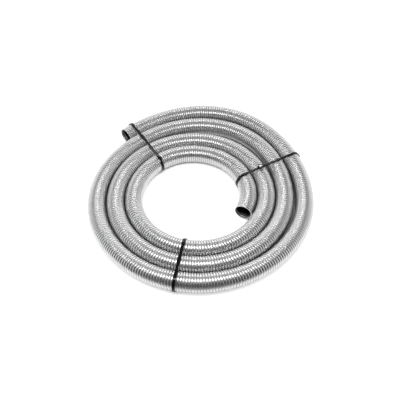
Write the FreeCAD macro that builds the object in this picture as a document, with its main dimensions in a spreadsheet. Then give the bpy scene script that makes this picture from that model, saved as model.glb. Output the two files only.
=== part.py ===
import FreeCAD, Part

"""Flexible exhaust tubing: one length of strip-wound steel hose, coiled flat, held by three cable ties.

The hose lies in a single-layer spiral of almost three and a half turns, with an open mouth at each end. The
wall is modelled over its ribs, without the ribs themselves. Each mouth is a straight open tube. Between
the mouths the hose bends as the real one does, in short straight lengths of a few ribs, each turned a
little against the last.

Lengths are in millimetres and angles in degrees. +Z is up, and the origin is the centre of the coil's
footprint, on the floor. The spiral is laid out about its pole, the point that its plan angles are
measured around, and everything is then moved so that the footprint is centred.
"""

import math
import os
from dataclasses import dataclass

from FreeCAD import Placement, Rotation, Vector

UP = Vector(0, 0, 1)

# Driving dimensions
DIMENSIONS = {
    "tube_diameter": 55.5,
    "wall_thickness": 2.35,
    "mouth_length": 31.2,
    "inner_radius": 165.8,
    "turn_gap": 1.0,
    "sweep_angle": 1236.5,
    "outer_mouth_angle": 131.5,
    "inner_end_turn": 4.0,
    "links_per_turn": 32.0,
    "strap_width": 9.0,
    "strap_thickness": 1.8,
    "seat_gap": 0.3,
    "head_length": 15.0,
    "head_width": 13.0,
    "head_height": 7.5,
    "head_chamfer": 1.5,
    "head_root": 1.2,
    "left_tie_angle": 122.1,
    "left_tie_aside": 25.0,
    "right_tie_angle": 29.7,
    "right_tie_aside": -21.0,
    "front_tie_angle": -100.5,
    "front_tie_aside": 5.0,
    "left_tail": 4.0,
    "right_tail": 8.0,
    "front_tail": 4.0,
}


@dataclass(frozen=True)
class Slack:
    """A place where a turn lies further out than its spiral and carries the turns outside it along."""

    widest: float
    """Largest extra distance from the pole."""
    at: float
    """Angle along the hose, from the outer mouth, where that distance is reached."""
    reach: float
    """Angle over which it fades to nothing on each side."""


@dataclass(frozen=True)
class TiePlan:
    """Where a cable tie goes round the coil and where its head sits."""

    name: str
    side: str
    """First word of the dimensions that hold the tie's plan angle, its distance aside and its tail."""
    head_side: str
    """Where the head sits: on the outer side, the inner side or the top of the second turn."""
    head_turn: float
    """How far round the tube the head sits, below its widest point, on a side."""


# Where a turn springs away from the turn inside it
SLACKS = [
    Slack(widest=12.7, at=55.5, reach=54),
    Slack(widest=4.7, at=139.5, reach=61),
    Slack(widest=0.8, at=319.5, reach=60),
    Slack(widest=23.2, at=422.5, reach=71),
    Slack(widest=3.9, at=777.5, reach=50),
]

# Where the whole coil, from its innermost turn outward, departs from a true spiral
BULGES = [
    Slack(widest=-5.9, at=941.5, reach=90),
    Slack(widest=-8.4, at=1031.5, reach=90),
    Slack(widest=0.7, at=1121.5, reach=90),
    Slack(widest=-4.9, at=1211.5, reach=90),
]

TIES = [
    TiePlan("tie_left", "left", "outer", 12),
    TiePlan("tie_right", "right", "top", 0),
    TiePlan("tie_front", "front", "inner", 12),
]


# Document and sizes
def open_document():
    """Make the document and its sheet of dimensions, and read the sheet back."""
    doc = FreeCAD.newDocument("flexible_exhaust_tubing")
    sheet = doc.addObject("Spreadsheet::Sheet", "Dimensions")
    for row, (name, value) in enumerate(DIMENSIONS.items(), start=1):
        sheet.set(f"A{row}", name)
        sheet.set(f"B{row}", str(value))
        sheet.setAlias(f"B{row}", name)
    doc.recompute()
    return doc, {name: float(getattr(sheet, name)) for name in DIMENSIONS}


def centre_height(size):
    """Height of the hose's centreline, which lies on the straps that pass beneath it."""
    return size["strap_thickness"] + size["seat_gap"] + size["tube_diameter"] / 2


# Route of the hose
def turn_step(size):
    """Distance from one turn's centreline to the next where they lie close."""
    return size["tube_diameter"] + size["turn_gap"]


def centreline_radius(size, along):
    """Distance from the pole to the centreline, at an angle along the hose from its outer mouth."""
    radius = size["inner_radius"] + turn_step(size) * (size["sweep_angle"] - along) / 360
    for slack in SLACKS + BULGES:
        for turns_in in range(4):
            share = (along + 360 * turns_in - slack.at) / slack.reach
            if abs(share) < 1:
                radius += slack.widest * (1 + math.cos(math.pi * share)) / 2
    return radius


def centreline_point(size, along, stand_off=1.0):
    """Point of the centreline about the pole, on the floor plan, or that far out in proportion."""
    plan = math.radians(size["outer_mouth_angle"] - along)
    radius = centreline_radius(size, along) * stand_off
    return Vector(radius * math.cos(plan), radius * math.sin(plan), centre_height(size))


def straight_end(size):
    """Straight length from a mouth to the first bend: the open mouth and what the bend's mitre takes."""
    half_turn = math.radians(180 / size["links_per_turn"])
    return size["mouth_length"] + size["tube_diameter"] * math.tan(half_turn)


def angle_of(size, length, along):
    """Angle that a length of hose takes up round the pole."""
    return math.degrees(length / centreline_radius(size, along))


def hose_route(size):
    """Corners of the hose's centreline from the outer mouth to the inner one, both mouths included.

    The corners stand outside the curve, so that the links between them touch it at their middles. The inner
    end turns a little further in than the curve, clear of the turn beside it.
    """
    first = angle_of(size, straight_end(size), 0)
    last = size["sweep_angle"] - angle_of(size, straight_end(size), size["sweep_angle"])
    count = round((last - first) * size["links_per_turn"] / 360)
    step = (last - first) / count
    stand_off = 1 / math.cos(math.radians(step / 2))
    corners = [centreline_point(size, first + step * i, stand_off) for i in range(count + 1)]
    outer_way = (centreline_point(size, first - step / 2) - corners[0]).normalize()
    inner_way = (centreline_point(size, last + step / 2) - corners[-1]).normalize()
    inner_way = Rotation(UP, -size["inner_end_turn"]).multVec(inner_way)
    outer_mouth = corners[0] + outer_way * straight_end(size)
    inner_mouth = corners[-1] + inner_way * straight_end(size)
    return [outer_mouth, *corners, inner_mouth]


def crossings(route, plan_angle, aside):
    """Places where a line at this plan angle, moved aside from the pole, crosses the hose, nearest first.

    Each has its distance along the line and how much wider than round the slanting hose is cut there.
    """
    angle = math.radians(plan_angle)
    way = Vector(math.cos(angle), math.sin(angle), 0)
    across = UP.cross(way)
    found = []
    for start, end in zip(route, route[1:]):
        left, right = start.dot(across) - aside, end.dot(across) - aside
        if left * right < 0:
            link = end - start
            distance = (start + link * (left / (left - right))).dot(way)
            if distance > 0:
                found.append((distance, link.Length / abs(link.dot(across))))
    return sorted(found)


def tie_reach(size, route, plan_angle, aside):
    """Centres of a tie's two round ends, clear of the inner and outer turn over the strap's whole width."""
    radius = size["tube_diameter"] / 2
    inner, outer = [], []
    for eighth in range(-4, 5):
        turns = crossings(route, plan_angle, aside + size["strap_width"] * eighth / 8)
        inner.append(turns[0][0] - radius * (turns[0][1] - 1))
        outer.append(turns[-1][0] + radius * (turns[-1][1] - 1))
    return min(inner), max(outer)


# Hose
def build_mouth(doc, name, mouth, way):
    """Straight open tube at one end of the hose, its axis pointing out of the mouth."""
    body = doc.addObject("PartDesign::Body", name)
    sketch = new_sketch(body, name + "_section", "XY_Plane")
    wall_sides = {
        "outside": "Dimensions.tube_diameter",
        "bore": "Dimensions.tube_diameter - 2 * Dimensions.wall_thickness",
    }
    for side, diameter in wall_sides.items():
        ring = sketch.addGeometry(Part.Circle(Vector(), UP, 25), False)
        sketch.addConstraint(sketch_rule("Coincident", ring, 3, -1, 1))
        bind(sketch, sketch_rule("Diameter", ring, 50), side, diameter)
    pad = body.newObject("PartDesign::Pad", name + "_wall")
    pad.Profile = sketch
    pad.setExpression("Length", "Dimensions.mouth_length")
    doc.recompute()
    length = float(pad.Length)
    body.Placement = Placement(mouth - way * length, Rotation(UP, way))
    return body


def build_coil(doc, size, route):
    """The hose between its two mouths, round in section and mitred at each small bend."""
    outer_way = (route[0] - route[1]).normalize()
    inner_way = (route[-1] - route[-2]).normalize()
    start = route[0] - outer_way * size["mouth_length"]
    end = route[-1] - inner_way * size["mouth_length"]
    centreline = doc.addObject("Part::Polygon", "hose_centreline")
    centreline.Nodes = [start, *route[1:-1], end]
    section = doc.addObject("Part::Circle", "hose_section")
    section.setExpression("Radius", "Dimensions.tube_diameter / 2")
    section.Placement = Placement(start, Rotation(UP, outer_way))
    coil = doc.addObject("Part::Sweep", "hose_coil")
    coil.Sections = [section]
    coil.Spine = (centreline, [])
    coil.Solid = True
    coil.Frenet = False
    coil.Transition = "Right corner"
    doc.recompute()
    return coil, centreline


# Cable ties
def build_tie(doc, size, route, plan):
    """One cable tie, laid out on its own line: X runs outward from the pole and Z up from the floor."""
    plan_angle, aside = size[plan.side + "_tie_angle"], size[plan.side + "_tie_aside"]
    inner_x, outer_x = tie_reach(size, route, plan_angle, aside)
    body = doc.addObject("PartDesign::Body", plan.name)
    sketch = new_sketch(body, plan.name + "_loop", "XZ_Plane")
    inside = "Dimensions.tube_diameter / 2 + Dimensions.seat_gap"
    draw_slot(sketch, inner_x, outer_x, "inside", inside)
    draw_slot(sketch, inner_x, outer_x, "outside", inside + " + Dimensions.strap_thickness")
    band = body.newObject("PartDesign::Pad", plan.name + "_band")
    band.Profile = sketch
    band.setExpression("Length", "Dimensions.strap_width")
    band.SideType = "Symmetric"

    doc.recompute()
    loop_radius = size["tube_diameter"] / 2 + size["seat_gap"] + size["strap_thickness"]
    if plan.head_side == "top":
        second_turn = crossings(route, plan_angle, aside)[1][0]
        seat = Vector(second_turn, 0, centre_height(size) + loop_radius)
        out, along = UP, Vector(1, 0, 0)
    else:
        centre_x, side = (outer_x, 1) if plan.head_side == "outer" else (inner_x, -1)
        lean = math.radians(plan.head_turn)
        out = Vector(side * math.cos(lean), 0, -math.sin(lean))
        along = Vector(-side * math.sin(lean), 0, -math.cos(lean))
        seat = Vector(centre_x, 0, centre_height(size)) + out * loop_radius
    add_head(doc, body, size, seat, out, along, plan)
    facing = Rotation(UP, plan_angle)
    body.Placement = Placement(facing.multVec(Vector(0, aside, 0)), facing)
    return body


def draw_slot(sketch, inner_x, outer_x, name, radius):
    """Slot outline round the tubes: a half circle round the innermost and the outermost, and two runs."""
    height, start = 30.0, 29.0
    low = sketch.addGeometry(line(inner_x, height - start, outer_x, height - start), False)
    outer = sketch.addGeometry(half_circle(outer_x, height, start, -90), False)
    top = sketch.addGeometry(line(outer_x, height + start, inner_x, height + start), False)
    inner = sketch.addGeometry(half_circle(inner_x, height, start, 90), False)
    for first, second in ((low, outer), (outer, top), (top, inner), (inner, low)):
        sketch.addConstraint(sketch_rule("Tangent", first, 2, second, 1))
    sketch.addConstraint(sketch_rule("Horizontal", low))
    sketch.addConstraint(sketch_rule("Horizontal", top))
    sketch.addConstraint(sketch_rule("DistanceX", -1, 1, inner, 3, inner_x))
    sketch.addConstraint(sketch_rule("DistanceX", -1, 1, outer, 3, outer_x))
    middle = "Dimensions.tube_diameter / 2 + Dimensions.seat_gap + Dimensions.strap_thickness"
    bind(sketch, sketch_rule("DistanceY", -1, 1, inner, 3, height), name + "_height", middle)
    bind(sketch, sketch_rule("Radius", outer, start), name + "_radius", radius)


def add_head(doc, body, size, seat, out, along, plan):
    """The tie's head, rooted in the strap, and the trimmed tail that leaves it."""
    across = out.cross(along)
    facing = Rotation(along, across, out, "ZXY")
    corner = seat - along * (size["head_length"] / 2) - across * (size["head_width"] / 2)
    head = body.newObject("PartDesign::AdditiveBox", plan.name + "_head")
    head.setExpression("Length", "Dimensions.head_length")
    head.setExpression("Width", "Dimensions.head_width")
    head.setExpression("Height", "Dimensions.head_height + Dimensions.head_root")
    head.Placement = Placement(corner - out * size["head_root"], facing)
    doc.recompute()

    tail_start = seat + out * (size["head_height"] / 2) - across * (size["strap_width"] / 2)
    tail = body.newObject("PartDesign::AdditiveBox", plan.name + "_tail")
    tail.setExpression("Length", f"Dimensions.head_length / 2 + Dimensions.{plan.side}_tail")
    tail.setExpression("Width", "Dimensions.strap_width")
    tail.setExpression("Height", "Dimensions.strap_thickness")
    tail.Placement = Placement(tail_start, facing)
    doc.recompute()

    chamfer = body.newObject("PartDesign::Chamfer", plan.name + "_head_edges")
    chamfer.Base = (tail, [outermost_face(tail.Shape, out)])
    chamfer.setExpression("Size", "Dimensions.head_chamfer")
    doc.recompute()
    body.Tip = chamfer


def outermost_face(shape, way):
    """Name of the face that lies furthest along a direction."""
    heights = [face.CenterOfMass.dot(way) for face in shape.Faces]
    return f"Face{heights.index(max(heights)) + 1}"


# Sketch helpers
def new_sketch(body, name, plane):
    """Sketch on one of a body's own origin planes."""
    sketch = body.newObject("Sketcher::SketchObject", name)
    roles = {feature.Role: feature for feature in body.Origin.OriginFeatures}
    sketch.AttachmentSupport = (roles[plane], [""])
    sketch.MapMode = "FlatFace"
    return sketch


def sketch_rule(*values):
    """A sketch constraint."""
    import Sketcher

    return Sketcher.Constraint(*values)


def bind(sketch, rule, name, expression):
    """Add a sketch dimension under a name and tie it to the sheet."""
    index = sketch.addConstraint(rule)
    sketch.renameConstraint(index, name)
    sketch.setExpression("Constraints." + name, expression)


def line(x1, y1, x2, y2):
    """Straight sketch line."""
    return Part.LineSegment(Vector(x1, y1, 0), Vector(x2, y2, 0))


def half_circle(x, y, radius, start):
    """Half circle about a centre, anticlockwise from a start angle."""
    circle = Part.Circle(Vector(x, y, 0), UP, radius)
    return Part.ArcOfCircle(circle, math.radians(start), math.radians(start + 180))


# Checks and hand-out
def check_document(doc, pieces):
    """Stop where an object has failed or a piece has no sound shape."""
    for item in doc.Objects:
        if "Invalid" in item.State or "Error" in item.State:
            raise RuntimeError(f"{item.Name} failed: {item.State}")
    for piece in pieces:
        if piece.Shape.isNull() or not piece.Shape.isValid() or len(piece.Shape.Solids) != 1:
            raise RuntimeError(f"{piece.Label} is not one sound solid")


def check_coil(size, coil, centreline, route):
    """Compare the coil's volume with its section times its length, and print what the route is like."""
    area = math.pi * (size["tube_diameter"] / 2) ** 2
    ratio = coil.Shape.Volume / (area * centreline.Shape.Length)
    if abs(ratio - 1) > 0.001:
        raise RuntimeError(f"the coil's volume is {ratio:.4f} of its section times its length")
    length = sum((end - start).Length for start, end in zip(route, route[1:]))
    radii = [centreline_radius(size, along) for along in range(0, round(size["sweep_angle"]), 10)]
    print(f"hose length {length:.0f} mm, bend radii {min(radii):.0f} to {max(radii):.0f} mm")
    print(f"volume against section times length {ratio:.5f}")


def centre_footprint(pieces):
    """Move every piece by the same vector, so that the origin is the centre of the footprint."""
    box = FreeCAD.BoundBox()
    for piece in pieces:
        box.add(piece.Shape.BoundBox)
    shift = Placement(Vector(-box.Center.x, -box.Center.y, -box.ZMin), Rotation())
    for piece in pieces:
        piece.Placement = shift.multiply(piece.Placement)
    print(f"pole at ({-box.Center.x:.2f}, {-box.Center.y:.2f}), lowest point was {box.ZMin:.3f}")


def main():
    """Build the hose and its ties, check them and write one file for each piece."""
    doc, size = open_document()
    route = hose_route(size)
    coil, centreline = build_coil(doc, size, route)
    outer_way = (route[0] - route[1]).normalize()
    inner_way = (route[-1] - route[-2]).normalize()
    pieces = [
        build_mouth(doc, "hose_outer_end", route[0], outer_way),
        coil,
        build_mouth(doc, "hose_inner_end", route[-1], inner_way),
    ]
    pieces += [build_tie(doc, size, route, plan) for plan in TIES]
    doc.recompute()
    check_coil(size, coil, centreline, route)
    centre_footprint(pieces)
    doc.recompute()
    check_document(doc, pieces)

    os.makedirs("parts", exist_ok=True)
    for piece in pieces:
        piece.Label = piece.Name
        piece.Shape.exportStep(f"parts/{piece.Label}.step")
        middle = piece.Placement.Base
        print(f"{piece.Label}: {piece.Shape.Volume / 1000:.1f} cm3, placed at {tuple(middle)}")
    for name, end, way in (("outer", route[0], outer_way), ("inner", route[-1], inner_way)):
        print(f"{name} mouth {tuple(end)}, pointing {tuple(way)}")


main()
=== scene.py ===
"""Flexible exhaust tubing: a strip-wound steel hose, coiled flat and held by three cable ties.

Everything is in metres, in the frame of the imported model: +Z is up and the origin is the centre of the
coil's footprint, on the floor. The hose is one ribbed wall wound like a screw thread and then bent along
the coil's centreline. The ties are rebuilt where the frame has them.
"""

import logging
import math
from collections.abc import Iterable
from dataclasses import dataclass, field
from enum import Enum

import bmesh
import bpy
import numpy as np
from mathutils import Matrix, Vector

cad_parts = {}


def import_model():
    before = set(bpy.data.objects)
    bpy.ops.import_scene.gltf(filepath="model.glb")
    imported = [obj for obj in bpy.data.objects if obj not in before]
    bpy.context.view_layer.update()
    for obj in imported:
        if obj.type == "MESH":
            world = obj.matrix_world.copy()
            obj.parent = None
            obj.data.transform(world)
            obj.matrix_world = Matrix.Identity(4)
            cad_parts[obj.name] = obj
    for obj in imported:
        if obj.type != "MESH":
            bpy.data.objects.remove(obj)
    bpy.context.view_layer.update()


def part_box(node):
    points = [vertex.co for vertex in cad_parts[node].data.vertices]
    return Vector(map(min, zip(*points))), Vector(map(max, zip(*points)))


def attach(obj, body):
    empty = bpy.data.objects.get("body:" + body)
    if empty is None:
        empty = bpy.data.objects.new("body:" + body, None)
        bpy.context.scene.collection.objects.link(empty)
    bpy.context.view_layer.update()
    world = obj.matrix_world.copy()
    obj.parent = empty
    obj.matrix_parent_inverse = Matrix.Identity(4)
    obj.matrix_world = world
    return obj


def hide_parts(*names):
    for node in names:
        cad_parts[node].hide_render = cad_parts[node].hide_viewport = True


log = logging.getLogger("exhaust_tubing")

Socket = bpy.types.NodeSocket
Span = tuple[float, float]
"""The two ends of a range."""

UP = Vector((0, 0, 1))
MM = 0.001
TOUCH = 1e-6
"""Distance within which a point counts as lying on a plane, in metres."""
SEAM = 2e-5
"""Distance within which the windings' matching vertices are joined, in metres."""
SQUARE_EDGE = 1.0
"""Least angle between the faces of a square edge that is rounded off, in radians."""
GROOVE = "groove"
"""Name of the attribute that says how deep in a groove a vertex lies, from 0 on a rib to 1."""
INSIDE = "inside"
"""Name of the attribute that says how far inside its mouth a vertex of an inner wall lies, in metres."""
NOISE_RANGE: Span = (0.3, 0.7)
"""Where nearly all values of the noise lie."""


# Finishes
@dataclass(frozen=True)
class Nodes:
    """A material's node tree, with short calls for adding and joining nodes."""

    tree: bpy.types.NodeTree

    def add(self, kind: str, **values: str | int) -> bpy.types.Node:
        """Add a node and set its own properties.

        Args:
            kind: The node's type name.
            values: Properties of the node itself, not its sockets.

        Returns:
            The new node.
        """
        node = self.tree.nodes.new(kind)
        for name, value in values.items():
            setattr(node, name, value)
        return node

    def join(self, start: Socket, end: Socket) -> None:
        """Link an output to an input."""
        self.tree.links.new(start, end)

    def feed(self, value: Socket | float, end: Socket) -> None:
        """Give an input its value.

        Args:
            value: An output, which is linked, or a number.
            end: The input.
        """
        if isinstance(value, Socket):
            self.join(value, end)
        else:
            end.default_value = value

    def position(self, coordinates: str) -> bpy.types.bpy_prop_collection:
        """Split a place or direction into X, Y and Z.

        Args:
            coordinates: Name of the Texture Coordinate node's output.

        Returns:
            The outputs, found by the letters X, Y and Z.
        """
        place = self.add("ShaderNodeTexCoord")
        parts = self.add("ShaderNodeSeparateXYZ")
        self.join(place.outputs[coordinates], parts.inputs[0])
        return parts.outputs

    def attribute(self, name: str) -> Socket:
        """Read a number that the mesh holds at each vertex."""
        return self.add("ShaderNodeAttribute", attribute_name=name).outputs["Fac"]

    def noise(self, scale: float, detail: float) -> Socket:
        """Add noise over the piece's own coordinates.

        Args:
            scale: Features per metre.
            detail: Octaves of the noise.

        Returns:
            The noise value's socket.
        """
        place = self.add("ShaderNodeTexCoord")
        texture = self.add("ShaderNodeTexNoise")
        self.join(place.outputs["Object"], texture.inputs["Vector"])
        texture.inputs["Scale"].default_value = scale
        texture.inputs["Detail"].default_value = detail
        return texture.outputs["Fac"]

    def ranged(self, value: Socket, span: Span, result: Span, easing: str = "SMOOTHSTEP") -> Socket:
        """Map a value from one range to another and hold it at the ends.

        Args:
            value: Socket with the value.
            span: Ends of the range that it comes from.
            result: What each end becomes.
            easing: How it runs between them.

        Returns:
            The mapped value's socket.
        """
        ranger = self.add("ShaderNodeMapRange", clamp=True, interpolation_type=easing)
        ranger.inputs["From Min"].default_value, ranger.inputs["From Max"].default_value = span
        ranger.inputs["To Min"].default_value, ranger.inputs["To Max"].default_value = result
        self.join(value, ranger.inputs["Value"])
        return ranger.outputs["Result"]

    def mottled(self, scale: float, detail: float, result: Span) -> Socket:
        """Vary a value over the surface with noise.

        Args:
            scale: Features per metre.
            detail: Octaves of the noise.
            result: The value where the noise is low and where it is high.

        Returns:
            The varied value's socket.
        """
        return self.ranged(self.noise(scale, detail), NOISE_RANGE, result, "LINEAR")

    def scaled(self, value: Socket, factor: Socket) -> Socket:
        """Multiply one value by another.

        Args:
            value: Socket with the one.
            factor: Socket with the other.

        Returns:
            The product's socket.
        """
        product = self.add("ShaderNodeMath", operation="MULTIPLY")
        self.join(value, product.inputs[0])
        self.join(factor, product.inputs[1])
        return product.outputs[0]

    def chosen(self, switch: Socket, off: Socket | float, on: Socket | float) -> Socket:
        """Choose between two values.

        Args:
            switch: Socket that is 0 or 1.
            off: The value at 0.
            on: The value at 1.

        Returns:
            The chosen value's socket.
        """
        mixer = self.add("ShaderNodeMix", data_type="FLOAT")
        self.join(switch, mixer.inputs[0])
        self.feed(off, mixer.inputs[2])
        self.feed(on, mixer.inputs[3])
        return mixer.outputs[0]

    def seen(self, path: bpy.types.Node, *kinds: str) -> Socket:
        """Tell whether a ray is of one of the named kinds.

        Args:
            path: A Light Path node.
            kinds: Ray kinds, each the word between Is and Ray in an output's name.

        Returns:
            Socket that is 1 for those rays and 0 for the rest.
        """
        found = path.outputs[f"Is {kinds[0]} Ray"]
        for kind in kinds[1:]:
            either = self.add("ShaderNodeMath", operation="MAXIMUM")
            self.join(found, either.inputs[0])
            self.join(path.outputs[f"Is {kind} Ray"], either.inputs[1])
            found = either.outputs[0]
        return found

    def grey(self, value: Socket) -> Socket:
        """Turn a value into a grey colour.

        Args:
            value: Socket with the grey's brightness.

        Returns:
            The colour's socket.
        """
        mixer = self.add("ShaderNodeCombineColor")
        for channel in ("Red", "Green", "Blue"):
            self.join(value, mixer.inputs[channel])
        return mixer.outputs["Color"]

    def bump(self, value: Socket, strength: float, distance: float) -> Socket:
        """Make a bumped normal from a height value.

        Args:
            value: Socket with the height, from 0 to 1.
            strength: Share of the bump that shows.
            distance: Height of the full bump in metres.

        Returns:
            The normal's socket.
        """
        bumper = self.add("ShaderNodeBump")
        bumper.inputs["Strength"].default_value = strength
        bumper.inputs["Distance"].default_value = distance
        self.join(value, bumper.inputs["Height"])
        return bumper.outputs["Normal"]


@dataclass(frozen=True)
class Finish:
    """A surface finish that a piece can be dressed in."""

    name: str

    def shader(self, nodes: Nodes, surface: bpy.types.Node) -> None:
        """Set the shader's sockets; each finish has its own."""

    def material(self) -> bpy.types.Material:
        """Make the finish's material, or find the one already made.

        Returns:
            The material.
        """
        found = bpy.data.materials.get(self.name)
        if found:
            return found
        made = bpy.data.materials.new(self.name)
        made.use_nodes = True
        self.shader(Nodes(made.node_tree), made.node_tree.nodes["Principled BSDF"])
        return made


@dataclass(frozen=True)
class GalvanisedStrip(Finish):
    """Bright galvanised steel strip: metallic, a little uneven in tone and gloss, with painted shade in its
    grooves.
    """

    tone: float = 0.74
    roughness: float = 0.33
    metallic: float = 1.0
    unevenness: float = 0.03
    """How far the tone and the roughness stray to each side."""
    groove_shade_tone: float = 0.52
    # Tone of the painted shade at the bottom of a groove, as a share of the tone on a rib.
    """Tone at the bottom of a groove, as a share of the tone on a rib."""
    groove_shade_span: Span = (0.25, 0.85)
    # Share of a groove's depth where the painted shade starts and where it is deepest.
    """Share of a groove's depth where the tone starts to fall and where it is lowest."""

    def strayed(self, middle: float) -> Span:
        """The lowest and the highest of an uneven value."""
        return middle - self.unevenness, middle + self.unevenness

    def mottled_and_shaded_tone(self, nodes: Nodes) -> Socket:
        """Mottle the tone and paint shade into the grooves.

        Args:
            nodes: The material's node tree.

        Returns:
            The tone's socket.
        """
        blotches = nodes.mottled(scale=45, detail=4, result=self.strayed(self.tone))
        # Painted shade: darker towards the bottom of each groove.
        painted_groove_shade = nodes.ranged(nodes.attribute(GROOVE), self.groove_shade_span, (1.0, self.groove_shade_tone))
        return nodes.scaled(blotches, painted_groove_shade)

    def shader(self, nodes: Nodes, surface: bpy.types.Node) -> None:
        """Mottle the tone and the gloss, paint shade into the grooves and add fine rolling marks.

        Args:
            nodes: The material's node tree.
            surface: Its shader node.
        """
        surface.inputs["Metallic"].default_value = self.metallic
        nodes.join(nodes.grey(self.mottled_and_shaded_tone(nodes)), surface.inputs["Base Color"])
        dullness = nodes.mottled(scale=120, detail=3, result=self.strayed(self.roughness))
        nodes.join(dullness, surface.inputs["Roughness"])
        marks = nodes.bump(nodes.noise(scale=700, detail=2), strength=0.03, distance=0.3 * MM)
        nodes.join(marks, surface.inputs["Normal"])


@dataclass(frozen=True)
class InnerStrip(GalvanisedStrip):
    """Galvanised strip inside the hose, with painted shade that deepens the further it lies from the mouth.
    """

    lit: float = 0.5 * MM
    # How far inside the mouth it stays free of painted shade.
    """How far inside the mouth it stays bright."""
    dark: float = 17 * MM
    # How far inside the painted shade is deepest.
    """How far inside it is darkest."""
    depth_shade_tone: float = 0.03
    # Tone of the painted shade there, as a share of the tone at the mouth.
    """Tone there, as a share of the tone at the mouth."""

    def mottled_and_shaded_tone(self, nodes: Nodes) -> Socket:
        """Paint shade that deepens with the distance from the mouth.

        Args:
            nodes: The material's node tree.

        Returns:
            The tone's socket.
        """
        # Painted shade: the tone falls away with the distance from the mouth.
        painted_depth_shade = nodes.ranged(nodes.attribute(INSIDE), (self.lit, self.dark), (1.0, self.depth_shade_tone))
        return nodes.scaled(super().mottled_and_shaded_tone(nodes), painted_depth_shade)


@dataclass(frozen=True)
class BlackNylon(Finish):
    """Glossy black nylon, moulded, with a faint orange-peel surface."""

    tone: float = 0.003
    tone_shares: Span = (0.7, 1.5)
    """The lowest and the highest tone, as shares of that."""
    roughness: float = 0.13
    roughness_shares: Span = (0.8, 1.3)
    """The lowest and the highest roughness, as shares of that."""
    gloss: float = 0.40

    def shader(self, nodes: Nodes, surface: bpy.types.Node) -> None:
        """Set a near black gloss with a slightly uneven sheen.

        Args:
            nodes: The material's node tree.
            surface: Its shader node.
        """
        tones = tuple(share * self.tone for share in self.tone_shares)
        shade = nodes.mottled(scale=160, detail=3, result=tones)
        nodes.join(nodes.grey(shade), surface.inputs["Base Color"])
        surface.inputs["Specular IOR Level"].default_value = self.gloss
        sheens = tuple(share * self.roughness for share in self.roughness_shares)
        nodes.join(nodes.mottled(scale=300, detail=2, result=sheens), surface.inputs["Roughness"])
        peel = nodes.bump(nodes.noise(scale=900, detail=2), strength=0.03, distance=0.2 * MM)
        nodes.join(peel, surface.inputs["Normal"])


# These finishes paint shade into the grooves; the bore's also paints shade that deepens away from the
# mouth.
STRIP = GalvanisedStrip("bright_zinc")
BORE_STRIP = InnerStrip("bore_zinc", tone=0.55, roughness=0.45, groove_shade_tone=0.12, metallic=0.8)
CUT_EDGE = GalvanisedStrip("cut_edge_zinc", tone=0.78, roughness=0.2)
NYLON = BlackNylon("moulded_nylon")
HEAD_NYLON = BlackNylon("polished_nylon", roughness=0.06, gloss=1.0)


# Shared piece making
def as_piece(
    bm: bmesh.types.BMesh, name: str, finish: Finish, smooth: float = 180
) -> bpy.types.Object:
    """Turn modelled work into a finished piece that rides on the coil.

    Args:
        bm: The work, already in place. It is freed.
        name: The piece's name.
        finish: What it is dressed in.
        smooth: Edges sharper than this angle, in degrees, stay hard.

    Returns:
        The piece.
    """
    mesh = bpy.data.meshes.new(name)
    bm.to_mesh(mesh)
    bm.free()
    mesh.shade_smooth()
    if smooth < 180:
        mesh.set_sharp_from_angle(angle=math.radians(smooth))
    piece = bpy.data.objects.new(name, mesh)
    bpy.context.scene.collection.objects.link(piece)
    mesh.materials.append(finish.material())
    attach(piece, "root")
    mesh.calc_loop_triangles()
    log.info("%s: %d triangles", name, len(mesh.loop_triangles))
    return piece


def round_off(
    bm: bmesh.types.BMesh, edges: list[bmesh.types.BMEdge], offset: float, segments: int = 2
) -> None:
    """Round edges off with a bevel.

    Args:
        bm: The work, changed in place.
        edges: The edges to round.
        offset: How far from each edge the bevel starts.
        segments: Faces across the bevel.
    """
    bmesh.ops.bevel(
        bm,
        geom=edges,
        affect="EDGES",
        offset=offset,
        offset_type="OFFSET",
        segments=segments,
        profile=0.5,
        material=-1,
        clamp_overlap=True,
    )


def square_edges(bm: bmesh.types.BMesh) -> list[bmesh.types.BMEdge]:
    """The edges of a thickened strip where its faces meet squarely."""
    return [edge for edge in bm.edges if edge.is_manifold and edge.calc_face_angle() > SQUARE_EDGE]


def widen(bm: bmesh.types.BMesh, way: Vector) -> None:
    """Draw a ring of edges out into a ribbon of faces, with its normals made consistent.

    Args:
        bm: The ring, changed in place.
        way: How far and which way its edges are drawn.
    """
    raised = bmesh.ops.extrude_edge_only(bm, edges=bm.edges[:])["geom"]
    lifted = [item for item in raised if isinstance(item, bmesh.types.BMVert)]
    bmesh.ops.translate(bm, verts=lifted, vec=way)
    bmesh.ops.recalc_face_normals(bm, faces=bm.faces)


def repeated(bm: bmesh.types.BMesh, pitch: float, count: int) -> bmesh.types.BMesh:
    """Repeat work along +Z and join the copies where they meet.

    Args:
        bm: The work to repeat. It is freed.
        pitch: Distance from one copy to the next.
        count: How many there are in all.

    Returns:
        The joined work.
    """
    mesh = bpy.data.meshes.new("repeated_work")
    bm.to_mesh(mesh)
    bm.free()
    holder = bpy.data.objects.new("repeated_work", mesh)
    bpy.context.scene.collection.objects.link(holder)
    row = holder.modifiers.new("row", "ARRAY")
    row.count = count
    row.use_relative_offset = False
    row.use_constant_offset = True
    row.constant_offset_displace = (0, 0, pitch)
    row.use_merge_vertices = True
    row.merge_threshold = SEAM
    joined = bpy.data.meshes.new_from_object(holder.evaluated_get(bpy.context.evaluated_depsgraph_get()))
    long = bmesh.new()
    long.from_mesh(joined)
    bpy.data.objects.remove(holder)
    bpy.data.meshes.remove(mesh)
    bpy.data.meshes.remove(joined)
    return long


# Route
@dataclass(frozen=True)
class Slack:
    """A place where a turn lies further out than its spiral and carries the turns outside it along."""

    widest: float
    """Largest extra distance from the pole, in metres."""
    at: float
    """Angle along the hose, from the outer mouth, where that distance is reached."""
    reach: float
    """Angle over which it fades to nothing on each side."""


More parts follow.
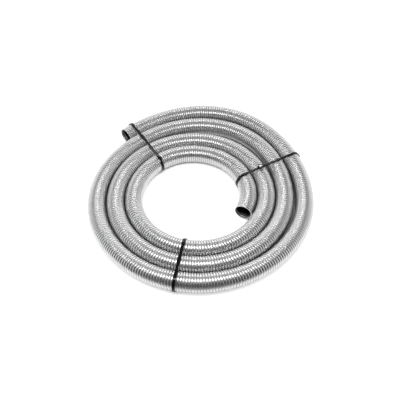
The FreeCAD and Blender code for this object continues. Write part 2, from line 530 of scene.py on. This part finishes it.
@dataclass
class SpiralRoute:
    """The hose's centreline: a flat spiral, loose in places and straight at both mouths.

    Lengths are in metres, angles in degrees along the hose from its outer mouth.
    """

    tube_diameter: float = 55.5 * MM
    mouth_length: float = 31.2 * MM
    inner_radius: float = 165.8 * MM
    """Distance of the spiral's inner end from its pole, before the slacks."""
    turn_gap: float = 1.0 * MM
    """Gap between one turn and the next, before the slacks."""
    sweep: float = 1236.5
    """Angle that the hose turns through from mouth to mouth."""
    outer_mouth_angle: float = 131.5
    """Angle in plan at which the hose starts."""
    links_per_turn: float = 32
    """Corners of the route in each full turn."""
    inner_end_turn: float = 4.0
    """How much the inner end turns further in than the curve, in degrees."""
    spline_steps: int = 8
    """Points that the smooth line has for each corner of the route."""
    slacks: tuple[Slack, ...] = (
        Slack(12.7 * MM, 55.5, 54),
        Slack(4.7 * MM, 139.5, 61),
        Slack(0.8 * MM, 319.5, 60),
        Slack(23.2 * MM, 422.5, 71),
        Slack(3.9 * MM, 777.5, 50),
        Slack(-5.9 * MM, 941.5, 90),
        Slack(-8.4 * MM, 1031.5, 90),
        Slack(0.7 * MM, 1121.5, 90),
        Slack(-4.9 * MM, 1211.5, 90),
    )
    pole: Vector = field(default_factory=Vector)
    """Centre of the spiral."""

    def stand_on(self, mouth_node: str) -> None:
        """Find the pole from the frame's outer mouth, a straight tube whose box is centred on its axis.

        Args:
            mouth_node: Name of the outer mouth's node.
        """
        low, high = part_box(mouth_node)
        mouth, corner = self.corners()[:2]
        middle = mouth - (mouth - corner).normalized() * (self.mouth_length / 2)
        self.pole = (low + high) / 2 - middle

    def radius(self, along: float) -> float:
        """Distance from the pole to the centreline.

        Args:
            along: Angle along the hose.

        Returns:
            The distance in metres.
        """
        distance = self.inner_radius + (self.tube_diameter + self.turn_gap) * (self.sweep - along) / 360
        for slack in self.slacks:
            for turns_in in range(4):
                share = (along + 360 * turns_in - slack.at) / slack.reach
                if abs(share) < 1:
                    distance += slack.widest * (1 + math.cos(math.pi * share)) / 2
        return distance

    def point(self, along: float, stand_off: float = 1.0) -> Vector:
        """Point of the centreline.

        Args:
            along: Angle along the hose.
            stand_off: How far out the point lies, as a share of its distance from the pole.

        Returns:
            The point.
        """
        plan = math.radians(self.outer_mouth_angle - along)
        distance = self.radius(along) * stand_off
        return self.pole + Vector((distance * math.cos(plan), distance * math.sin(plan), 0))

    def straight_end(self) -> float:
        """Straight length from a mouth to the first bend."""
        return self.mouth_length + self.tube_diameter * math.tan(math.radians(180 / self.links_per_turn))

    def corners(self) -> list[Vector]:
        """Corners of the route from the outer mouth to the inner one, worked out turn by turn.

        Returns:
            The corners, both mouths included.
        """
        end = self.straight_end()
        first = math.degrees(end / self.radius(0))
        last = self.sweep - math.degrees(end / self.radius(self.sweep))
        count = round((last - first) * self.links_per_turn / 360)
        step = (last - first) / count
        stand_off = 1 / math.cos(math.radians(step / 2))
        corners = [self.point(first + step * i, stand_off) for i in range(count + 1)]
        outer_way = (self.point(first - step / 2) - corners[0]).normalized()
        inner_way = (self.point(last + step / 2) - corners[-1]).normalized()
        inner_way.rotate(Matrix.Rotation(math.radians(-self.inner_end_turn), 3, "Z"))
        return [corners[0] + outer_way * end, *corners, corners[-1] + inner_way * end]

    def crossings(self, plan_angle: float, aside: float) -> list[tuple[float, float]]:
        """Places where a line at a plan angle, moved aside from the pole, crosses the hose.

        Args:
            plan_angle: The line's angle in plan, in degrees.
            aside: How far the line passes from the pole, to the left of its way out.

        Returns:
            Each crossing's distance along the line and how much wider than round the hose is cut there,
            nearest first.
        """
        way = Vector((math.cos(math.radians(plan_angle)), math.sin(math.radians(plan_angle)), 0))
        across = UP.cross(way)
        flat = [corner - self.pole for corner in self.corners()]
        found = []
        for start, end in zip(flat, flat[1:]):
            left, right = start.dot(across) - aside, end.dot(across) - aside
            if left * right < 0:
                link = end - start
                distance = (start + link * (left / (left - right))).dot(way)
                if distance > 0:
                    found.append((distance, link.length / abs(link.dot(across))))
        return sorted(found)

    def centreline(self) -> list[Vector]:
        """Smooth line through the route, read from a spline with its corners as control points.

        Returns:
            The points of the line, from the outer mouth to the inner one.
        """
        curve = bpy.data.curves.new("hose_route", "CURVE")
        curve.dimensions = "3D"
        spline = curve.splines.new("NURBS")
        corners = self.corners()
        spline.points.add(len(corners) - 1)
        for point, corner in zip(spline.points, corners):
            point.co = (*corner, 1)
        spline.use_endpoint_u = True
        spline.order_u = 3
        spline.resolution_u = self.spline_steps
        holder = bpy.data.objects.new("hose_route", curve)
        mesh = bpy.data.meshes.new_from_object(holder)
        line = [vertex.co.copy() for vertex in mesh.vertices]
        bpy.data.objects.remove(holder)
        bpy.data.curves.remove(curve)
        bpy.data.meshes.remove(mesh)
        return line


@dataclass
class BendLine:
    """A flat smooth line that straight work is bent along: its Z goes along the line and its Y stays up."""

    points: np.ndarray
    along: np.ndarray
    """Distance along the line at each point."""
    ways: np.ndarray
    """Direction of the line at each point."""

    @classmethod
    def through(cls, line: list[Vector]) -> "BendLine":
        """Measure a line of points.

        Args:
            line: The points, in order.

        Returns:
            The line, with the distance along it and its direction at each point.
        """
        points = np.array(line)
        steps = np.linalg.norm(np.diff(points, axis=0), axis=1)
        along = np.concatenate([[0.0], np.cumsum(steps)])
        ways = np.gradient(points, along, axis=0)
        return cls(points, along, ways / np.linalg.norm(ways, axis=1)[:, None])

    @property
    def length(self) -> float:
        """Length of the line in metres."""
        return float(self.along[-1])

    def bend(self, bm: bmesh.types.BMesh) -> None:
        """Bend straight work along the line.

        Args:
            bm: Work laid out along +Z from the line's start, changed in place.
        """
        bm.verts.ensure_lookup_table()
        straight = np.array([vertex.co for vertex in bm.verts])
        depth = straight[:, 2]
        places = np.stack([np.interp(depth, self.along, self.points[:, i]) for i in range(3)], axis=1)
        ways = np.stack([np.interp(depth, self.along, self.ways[:, i]) for i in range(3)], axis=1)
        sides = np.cross(np.array(UP), ways)
        sides /= np.linalg.norm(sides, axis=1)[:, None]
        bent = places + sides * straight[:, :1] + np.array(UP) * straight[:, 1:2]
        for vertex, place in zip(bm.verts, bent):
            vertex.co = place


# Hose
@dataclass
class Hose:
    """The strip-wound hose: ribbed outside, faintly grooved inside, cut square at both mouths."""

    route: SpiralRoute
    line: BendLine
    diameter: float = 55.5 * MM
    bore: float = 50.8 * MM
    pitch: float = 7.8 * MM
    groove_depth: float = 1.9 * MM
    bore_groove_depth: float = 1.0 * MM
    bore_groove_recess: float = 0.4 * MM
    """How far a groove of the inner wall lies outside the bore."""
    around: int = 20
    """Steps in one full winding."""
    spun_windings: int = 8
    """Windings that are spun, before they are repeated."""
    bore_seen: float = 0.4
    """How far into each mouth the inner wall can be seen."""
    rim: float = 1.1 * MM
    """Length of a rim along the hose."""
    rim_inset: float = 0.05 * MM
    """How far a rim's outside lies within the ribs."""
    rim_relief: float = 0.15 * MM
    """How much thinner than the wall a rim is made."""
    rim_rounding: float = 0.25 * MM
    rim_steps: int = 96
    """Steps round a rim."""

    def outer_profile(self) -> list[tuple[float, float]]:
        """One rib and one groove of the outer wall.

        Each point is a share of the groove's depth and a share of the pitch.

        Returns:
            The strip's section, as radius and distance along.
        """
        crest = self.diameter / 2
        shares = (
            (1, 0.0),
            (1, 0.14),
            (0.24, 0.22),
            (0.01, 0.38),
            (0.01, 0.77),
            (0.24, 0.92),
            (1, 1.0),
        )
        return [(crest - sunk * self.groove_depth, share * self.pitch) for sunk, share in shares]

    def bore_profile(self) -> list[tuple[float, float]]:
        """One lap of the inner wall: a wide smooth band and a narrow groove.

        Returns:
            The strip's section, as radius and distance along.
        """
        groove = self.bore / 2 + self.bore_groove_recess
        wall = groove - self.bore_groove_depth
        shares = ((groove, 0.0), (groove, 0.16), (wall, 0.28), (wall, 0.88), (groove, 1.0))
        return [(radius, share * self.pitch) for radius, share in shares]

    def wind(self, profile: list[tuple[float, float]], start: float, end: float) -> bmesh.types.BMesh:
        """Wind a strip's profile into a straight tube and cut both ends square.

        A few windings are spun, and the rest repeat them.

        Args:
            profile: Radius and distance along for one pitch.
            start: Where the tube starts along the hose.
            end: Where it ends.

        Returns:
            The straight tube along +Z.
        """
        block = self.spun_windings * self.pitch
        copies = math.ceil((end - start) / block) + 1
        bm = bmesh.new()
        verts = [bm.verts.new((radius, 0, start - self.pitch + depth)) for radius, depth in profile]
        edges = [bm.edges.new(pair) for pair in zip(verts, verts[1:])]
        bmesh.ops.spin(
            bm,
            geom=[*verts, *edges],
            cent=(0, 0, 0),
            axis=(0, 0, 1),
            dvec=(0, 0, self.pitch / self.around),
            angle=math.tau * self.spun_windings,
            steps=self.around * self.spun_windings,
            use_merge=False,
            use_duplicate=False,
        )
        bmesh.ops.remove_doubles(bm, verts=bm.verts, dist=SEAM)
        bm = repeated(bm, block, copies)
        for depth, outward in ((start, -1), (end, 1)):
            bmesh.ops.bisect_plane(
                bm,
                geom=[*bm.verts, *bm.edges, *bm.faces],
                dist=TOUCH,
                plane_co=(0, 0, depth),
                plane_no=(0, 0, outward),
                clear_outer=True,
            )
        share = bm.verts.layers.float.new(GROOVE)
        radii = [radius for radius, _ in profile]
        rib, groove = radii[len(radii) // 2], radii[0]
        for vertex in bm.verts:
            vertex[share] = (math.hypot(vertex.co.x, vertex.co.y) - rib) / (groove - rib)
        return bm

    def build_wall(self) -> bpy.types.Object:
        """Wind the ribbed outer wall and bend it along the coil.

        Returns:
            The outer wall.
        """
        bm = self.wind(self.outer_profile(), 0.0, self.line.length)
        self.line.bend(bm)
        bmesh.ops.recalc_face_normals(bm, faces=bm.faces)
        return as_piece(bm, "hose_wall", STRIP)

    def build_bore(self, name: str, start: float, end: float) -> bpy.types.Object:
        """Wind the inner wall behind a mouth, with its faces towards the axis.

        Args:
            name: The piece's name.
            start: Where it starts along the hose.
            end: Where it ends.

        Returns:
            The inner wall.
        """
        bm = self.wind(self.bore_profile(), start, end)
        inside = bm.verts.layers.float.new(INSIDE)
        for vertex in bm.verts:
            vertex[inside] = min(vertex.co.z, self.line.length - vertex.co.z)
        self.line.bend(bm)
        bmesh.ops.recalc_face_normals(bm, faces=bm.faces)
        bmesh.ops.reverse_faces(bm, faces=bm.faces)
        return as_piece(bm, name, BORE_STRIP)

    def build_rim(self, name: str, depth: float) -> bpy.types.Object:
        """Make the cut edge of the wall at a mouth, a ring with rounded edges.

        Args:
            name: The piece's name.
            depth: Where the ring starts along the hose.

        Returns:
            The rim.
        """
        bm = bmesh.new()
        middle = (self.diameter + self.bore) / 4
        bmesh.ops.create_circle(bm, cap_ends=False, radius=middle, segments=self.rim_steps)
        widen(bm, Vector((0, 0, self.rim)))
        bmesh.ops.translate(bm, verts=bm.verts, vec=(0, 0, depth))
        wall = (self.diameter - self.bore) / 2 - self.rim_relief
        bmesh.ops.solidify(bm, geom=bm.faces[:], thickness=wall)
        reach = max(math.hypot(vertex.co.x, vertex.co.y) for vertex in bm.verts)
        shrink = (self.diameter / 2 - self.rim_inset) / reach
        bmesh.ops.scale(bm, verts=bm.verts, vec=(shrink, shrink, 1))
        round_off(bm, square_edges(bm), self.rim_rounding)
        self.line.bend(bm)
        bmesh.ops.recalc_face_normals(bm, faces=bm.faces)
        return as_piece(bm, name, CUT_EDGE)

    def build(self) -> None:
        wall = self.build_wall()
        length = self.line.length
        ends = [
            self.build_bore("hose_outer_bore", 0.0, self.bore_seen),
            self.build_bore("hose_inner_bore", length - self.bore_seen, length),
            self.build_rim("hose_outer_rim", 0.0),
            self.build_rim("hose_inner_rim", length - self.rim),
        ]
        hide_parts("hose_coil", "hose_outer_end", "hose_inner_end")


# Cable ties
class HeadPlace(Enum):
    """Where a tie's head sits on its loop."""

    OUTER_SIDE = "outer side"
    INNER_SIDE = "inner side"
    TOP = "top"


@dataclass
class CableTie:
    """One nylon cable tie round all the turns that it crosses.

    Its own X runs outward from the pole and its Z up. The loop's size and place come from the hose.
    """

    node: str
    route: SpiralRoute
    head_place: HeadPlace
    angle: float
    """Plan angle of the tie's X, in degrees."""
    aside: float
    """How far the tie passes from the pole, to the left of its X."""
    tail: float
    """How far the tail stands out of the head."""
    width: float = 9.0 * MM
    thickness: float = 1.8 * MM
    seat_gap: float = 0.3 * MM
    head_length: float = 15.0 * MM
    head_width: float = 13.0 * MM
    head_height: float = 7.5 * MM
    head_root: float = 1.2 * MM
    """How deep the head is sunk in the strap."""
    head_lean: float = 12.0
    """How far below the tube's widest point a head at a side sits, in degrees."""
    strap_rounding: float = 0.45 * MM
    head_rounding: float = 1.4 * MM
    tail_rounding: float = 0.4 * MM
    loop_steps: int = 64
    """Steps round the loop's two ends together."""
    run_cuts: int = 24
    """Cuts across each of the loop's straight runs."""
    hard_angle: float = 40.0
    """Edges sharper than this, in degrees, stay hard."""

    @property
    def loop_radius(self) -> float:
        """Outer radius of the loop where it wraps a turn, which is also its centre's height."""
        return self.thickness + self.seat_gap + self.route.tube_diameter / 2

    def reach(self) -> tuple[float, float]:
        """Find the loop's two round ends, clear of the hose over the strap's whole width.

        Returns:
            Where the centres of the inner end and of the outer end lie along X.
        """
        radius = self.route.tube_diameter / 2
        inner, outer = [], []
        for eighth in range(-4, 5):
            turns = self.route.crossings(self.angle, self.aside + self.width * eighth / 8)
            inner.append(turns[0][0] - radius * (turns[0][1] - 1))
            outer.append(turns[-1][0] + radius * (turns[-1][1] - 1))
        return min(inner), max(outer)

    def build_band(self) -> bmesh.types.BMesh:
        """Make the strap's loop: a circle drawn out to a slot, widened and thickened.

        Returns:
            The loop in the tie's own frame.
        """
        inner_x, outer_x = self.reach()
        bm = bmesh.new()
        upright = Matrix.Rotation(math.radians(90), 4, "X")
        radius = self.loop_radius - self.thickness
        bmesh.ops.create_circle(
            bm, cap_ends=False, radius=radius, segments=self.loop_steps, matrix=upright
        )
        bmesh.ops.translate(bm, verts=bm.verts, vec=(inner_x, 0, self.loop_radius))
        outer_half = [vertex for vertex in bm.verts if vertex.co.x > inner_x + TOUCH]
        bmesh.ops.translate(bm, verts=outer_half, vec=(outer_x - inner_x, 0, 0))
        long_runs = [edge for edge in bm.edges if edge.calc_length() > self.head_length * 2]
        bmesh.ops.subdivide_edges(bm, edges=long_runs, cuts=self.run_cuts)
        widen(bm, Vector((0, self.width, 0)))
        bmesh.ops.translate(bm, verts=bm.verts, vec=(0, -self.width / 2, 0))
        middle = Vector(((inner_x + outer_x) / 2, 0, self.loop_radius))
        face = next(iter(bm.faces))
        if (face.calc_center_median() - middle).dot(face.normal) > 0:
            bmesh.ops.reverse_faces(bm, faces=bm.faces)
        bmesh.ops.solidify(bm, geom=bm.faces[:], thickness=self.thickness)
        round_off(bm, square_edges(bm), self.strap_rounding)
        return bm

    def head_frame(self) -> Matrix:
        """Find where the head sits on the strap.

        Returns:
            The head's frame: X along the strap to the tail, Z out of the strap.
        """
        inner_x, outer_x = self.reach()
        if self.head_place is HeadPlace.TOP:
            second_turn = self.route.crossings(self.angle, self.aside)[1][0]
            seat = Vector((second_turn, 0, 2 * self.loop_radius))
            out, along = UP.copy(), Vector((1, 0, 0))
        else:
            outer = self.head_place is HeadPlace.OUTER_SIDE
            centre_x, side = (outer_x, 1) if outer else (inner_x, -1)
            lean = math.radians(self.head_lean)
            out = Vector((side * math.cos(lean), 0, -math.sin(lean)))
            along = Vector((-side * math.sin(lean), 0, -math.cos(lean)))
            seat = Vector((centre_x, 0, self.loop_radius)) + out * self.loop_radius
        across = out.cross(along)
        frame = Matrix((along, across, out)).transposed().to_4x4()
        frame.translation = seat
        return frame

    @staticmethod
    def block(size: Vector, place: Matrix) -> bmesh.types.BMesh:
        """Make a box that stands on its place.

        Args:
            size: Its sizes along X, Y and Z.
            place: Frame at the middle of its underside.

        Returns:
            The box.
        """
        bm = bmesh.new()
        lift = Matrix.Translation((0, 0, size.z / 2))
        bmesh.ops.create_cube(bm, size=1, matrix=place @ lift @ Matrix.Diagonal(size.to_4d()))
        return bm

    def build_head(self) -> bmesh.types.BMesh:
        """Make the head, with the window that the tail leaves by, and the trimmed tail.

        Returns:
            The head and tail in the tie's own frame.
        """
        frame = self.head_frame()
        root = Matrix.Translation((0, 0, -self.head_root))
        size = Vector((self.head_length, self.head_width, self.head_height + self.head_root))
        bm = self.block(size, frame @ root)
        round_off(bm, bm.edges[:], self.head_rounding, segments=3)
        self.sink(bm, frame.col[0].to_3d(), border=1.3 * MM, slope=0.2 * MM, depth=1.5 * MM)
        self.sink(bm, frame.col[2].to_3d(), border=2.2 * MM, slope=0.5 * MM, depth=0.5 * MM)
        self.add_tail(bm, frame)
        return bm

    @staticmethod
    def sink(bm: bmesh.types.BMesh, way: Vector, border: float, slope: float, depth: float) -> None:
        """Sink a panel into the largest face on one side of the head.

        Args:
            bm: The head's work.
            way: Which way the face looks.
            border: Width of the border that is left.
            slope: How much narrower the panel is at its bottom, on each side.
            depth: How deep it lies.
        """
        panel = max(bm.faces, key=lambda face: face.normal.dot(way) * face.calc_area())
        bmesh.ops.inset_individual(bm, faces=[panel], thickness=border, depth=0)
        bmesh.ops.inset_individual(bm, faces=[panel], thickness=slope, depth=-depth)

    def add_tail(self, bm: bmesh.types.BMesh, frame: Matrix) -> None:
        """Add the plain trimmed tail that leaves the head by its window.

        Args:
            bm: The head's work.
            frame: The head's frame.
        """
        length = self.head_length / 2 + self.tail
        start = Matrix.Translation((length / 2, 0, self.head_height / 2))
        tail = self.block(Vector((length, self.width, self.thickness)), frame @ start)
        round_off(tail, tail.edges[:], self.tail_rounding)
        mesh = bpy.data.meshes.new("tail_work")
        tail.to_mesh(mesh)
        tail.free()
        bm.from_mesh(mesh)
        bpy.data.meshes.remove(mesh)

    def build(self) -> None:
        """Build the loop and the head with its tail, and put both in the tie's place."""
        pole = Matrix.Translation((self.route.pole.x, self.route.pole.y, 0))
        turn = Matrix.Rotation(math.radians(self.angle), 4, "Z")
        place = pole @ turn @ Matrix.Translation((0, self.aside, 0))
        band = self.build_band()
        head = self.build_head()
        for bm in (band, head):
            bmesh.ops.transform(bm, matrix=place, verts=bm.verts)
            bmesh.ops.recalc_face_normals(bm, faces=bm.faces)
        strap = as_piece(band, self.node + "_strap", NYLON, self.hard_angle)
        as_piece(head, self.node + "_head", HEAD_NYLON, self.hard_angle)
        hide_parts(self.node)


# Studio
@dataclass
class Lamp:
    """A soft oblong lamp that faces a target."""

    name: str
    place: Vector
    target: Vector
    width: float
    depth: float
    watts: float

    def build(self) -> None:
        """Hang the lamp."""
        data = bpy.data.lights.new(self.name, "AREA")
        data.shape = "RECTANGLE"
        data.size = self.width
        data.size_y = self.depth
        data.energy = self.watts
        lamp = bpy.data.objects.new(self.name, data)
        bpy.context.scene.collection.objects.link(lamp)
        lamp.visible_camera = False
        lamp.location = self.place
        lamp.rotation_euler = (self.target - self.place).to_track_quat("-Z", "Y").to_euler()


@dataclass
class Studio:
    """White floor and surround, soft lamps and the camera."""

    route: SpiralRoute
    elevation: float = 49.35
    """Angle of the camera above the floor, in degrees."""
    distance: float = 1.820
    sensor: float = 36.0
    lens: float = 53.0
    look_right: float = 14.8 * MM
    """How far to the right of the pole the camera aims."""
    look_back: float = -18.2 * MM
    """How far behind the pole it aims."""
    world_strength: float = 0.75
    """Strength of the surround as it lights the coil."""
    room_glow: Span = (1.12, 0.18)
    """Strength of the room that metal reflects, low down and overhead."""
    room_rise: Span = (0.42, 0.78)
    """Height between those two, as a part of the direction's length."""
    front_glow: float = 0.04
    """Share of the room's strength that is left on the camera's side."""
    front_edge: Span = (-0.60, -0.20)
    """Where that side begins, as a part of the direction's length along Y."""
    key_watts: float = 6.2
    back_watts: float = 2.2
    floor_reach: float = 30.0
    """How far the floor runs to each side."""
    floor_drop: float = 0.2 * MM
    """How far the floor lies below the straps, so that the two don't flicker."""
    floor_tone: float = 0.92
    floor_lift: float = 0.42
    """Light added where the floor is seen, which brings it to white."""
    # Painted shade: the floor's tone where it is closed in between the turns.
    crevice_shade_tone: float = 0.15
    crevice_reach: float = 0.15
    """How near the coil is looked for in working out how closed in the floor is."""
    crevice_open: Span = (0.18, 0.28)
    # Open share of the sky at which the floor takes its full painted shade and at which it is white.
    """Open share of the sky at which the floor is dark and at which it is white."""
    mirrored_floor: Span = (0.12, 0.85)
    # Share of the floor's brightness in reflections, out in front of the coil and beside it: painted shade
    # that only reflections see.
    """Share of the floor's brightness in reflections, out in front of the coil and beside it."""
    mirrored_edge: Span = (-0.47, -0.385)
    """Where the floor passes from one to the other, along Y."""

    def build_floor(self) -> None:
        """Lay a wide white floor that keeps the coil's shadow and reads white to the camera."""
        bm = bmesh.new()
        bmesh.ops.create_grid(bm, x_segments=1, y_segments=1, size=self.floor_reach)
        mesh = bpy.data.meshes.new("studio_floor")
        bm.to_mesh(mesh)
        bm.free()
        floor = bpy.data.objects.new("studio_floor", mesh)
        bpy.context.scene.collection.objects.link(floor)
        floor.location.z = -self.floor_drop
        mesh.materials.append(self.white_paper())

    def white_paper(self) -> bpy.types.Material:
        """Make the floor's finish: painted shade between the turns and, in reflections only, out in front
        of the coil.

        Returns:
            The material.
        """
        paper = bpy.data.materials.new("white_paper")
        paper.use_nodes = True
        nodes = Nodes(paper.node_tree)
        surface = paper.node_tree.nodes["Principled BSDF"]
        path = nodes.add("ShaderNodeLightPath")
        # Painted shade seen in reflections: glossy rays find the floor darker out in front of the coil.
        mirrored = nodes.ranged(nodes.position("Object")["Y"], self.mirrored_edge, self.mirrored_floor)
        share = nodes.chosen(path.outputs["Is Glossy Ray"], 1.0, mirrored)
        # Painted shade between the turns: ambient occlusion darkens the floor's tone and takes away its
        # added light.
        crevice = nodes.add("ShaderNodeAmbientOcclusion", samples=8)
        crevice.inputs["Distance"].default_value = self.crevice_reach
        lift = nodes.ranged(crevice.outputs["AO"], self.crevice_open, (0.0, self.floor_lift))
        tone = nodes.ranged(crevice.outputs["AO"], self.crevice_open, (self.crevice_shade_tone, self.floor_tone))
        nodes.join(nodes.grey(nodes.scaled(share, tone)), surface.inputs["Base Color"])
        seen_lift = nodes.scaled(lift, nodes.seen(path, "Camera", "Glossy", "Transmission"))
        nodes.join(nodes.scaled(share, seen_lift), surface.inputs["Emission Strength"])
        surface.inputs["Emission Color"].default_value = (1, 1, 1, 1)
        surface.inputs["Roughness"].default_value = 0.9
        surface.inputs["Specular IOR Level"].default_value = 0.0
        return paper

    def build_world(self) -> None:
        """Surround everything with plain light, white to the camera.

        Reflections see a room: pale behind the coil, greyer overhead and dark on the camera's side.
        """
        world = bpy.data.worlds.new("white_surround")
        bpy.context.scene.world = world
        world.use_nodes = True
        nodes = Nodes(world.node_tree)
        way = nodes.position("Generated")
        height = nodes.ranged(way["Z"], self.room_rise, self.room_glow)
        side = nodes.ranged(way["Y"], self.front_edge, (self.front_glow, 1.0))
        room = nodes.scaled(height, side)
        path = nodes.add("ShaderNodeLightPath")
        reflected = nodes.chosen(path.outputs["Is Glossy Ray"], self.world_strength, room)
        total = nodes.chosen(nodes.seen(path, "Camera", "Transmission"), reflected, 1.0)
        background = world.node_tree.nodes["Background"]
        background.inputs["Color"].default_value = (1, 1, 1, 1)
        nodes.join(total, background.inputs["Strength"])

    def build_lamps(self) -> None:
        """Hang a long narrow lamp over the front of the coil and a weaker one behind it."""
        Lamp(
            name="key_lamp",
            place=Vector((-0.1, -0.47, 1.10)),
            target=Vector((-0.1, -0.3, 0)),
            width=1.0,
            depth=0.14,
            watts=self.key_watts,
        ).build()
        Lamp(
            name="back_lamp",
            place=Vector((0, 1.01, 1.05)),
            target=Vector((0, 0.1, 0)),
            width=0.9,
            depth=0.07,
            watts=self.back_watts,
        ).build()

    def build_camera(self) -> None:
        """Set the camera at the photograph's viewing angle."""
        data = bpy.data.cameras.new("camera")
        data.sensor_width = self.sensor
        data.lens = self.lens
        camera = bpy.data.objects.new("camera", data)
        bpy.context.scene.collection.objects.link(camera)
        target = self.route.pole + Vector((self.look_right, self.look_back, 0))
        rise = math.radians(self.elevation)
        offset = Vector((0, -math.cos(rise), math.sin(rise))) * self.distance
        camera.location = target + offset
        camera.rotation_euler = (-offset).to_track_quat("-Z", "Y").to_euler()
        bpy.context.scene.camera = camera

    def build(self) -> None:
        """Build the floor, the surround, the lamps and the camera."""
        bpy.context.scene.view_settings.view_transform = "Standard"
        self.build_floor()
        self.build_world()
        self.build_lamps()
        self.build_camera()


def main() -> None:
    """Load the frame, build the hose, the ties and the studio."""
    logging.basicConfig(level=logging.INFO, format="%(message)s")
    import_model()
    route = SpiralRoute()
    route.stand_on("hose_outer_end")
    line = BendLine.through(route.centreline())
    log.info("pole %s, hose length %.3f m", tuple(round(value, 5) for value in route.pole), line.length)
    Studio(route).build()
    Hose(route, line).build()
    ties = (
        CableTie("tie_left", route, HeadPlace.OUTER_SIDE, angle=122.1, aside=25 * MM, tail=4 * MM),
        CableTie("tie_right", route, HeadPlace.TOP, angle=29.7, aside=-21 * MM, tail=8 * MM),
        CableTie("tie_front", route, HeadPlace.INNER_SIDE, angle=-100.5, aside=5 * MM, tail=4 * MM),
    )
    for tie in ties:
        tie.build()


if __name__ == "__main__":
    main()
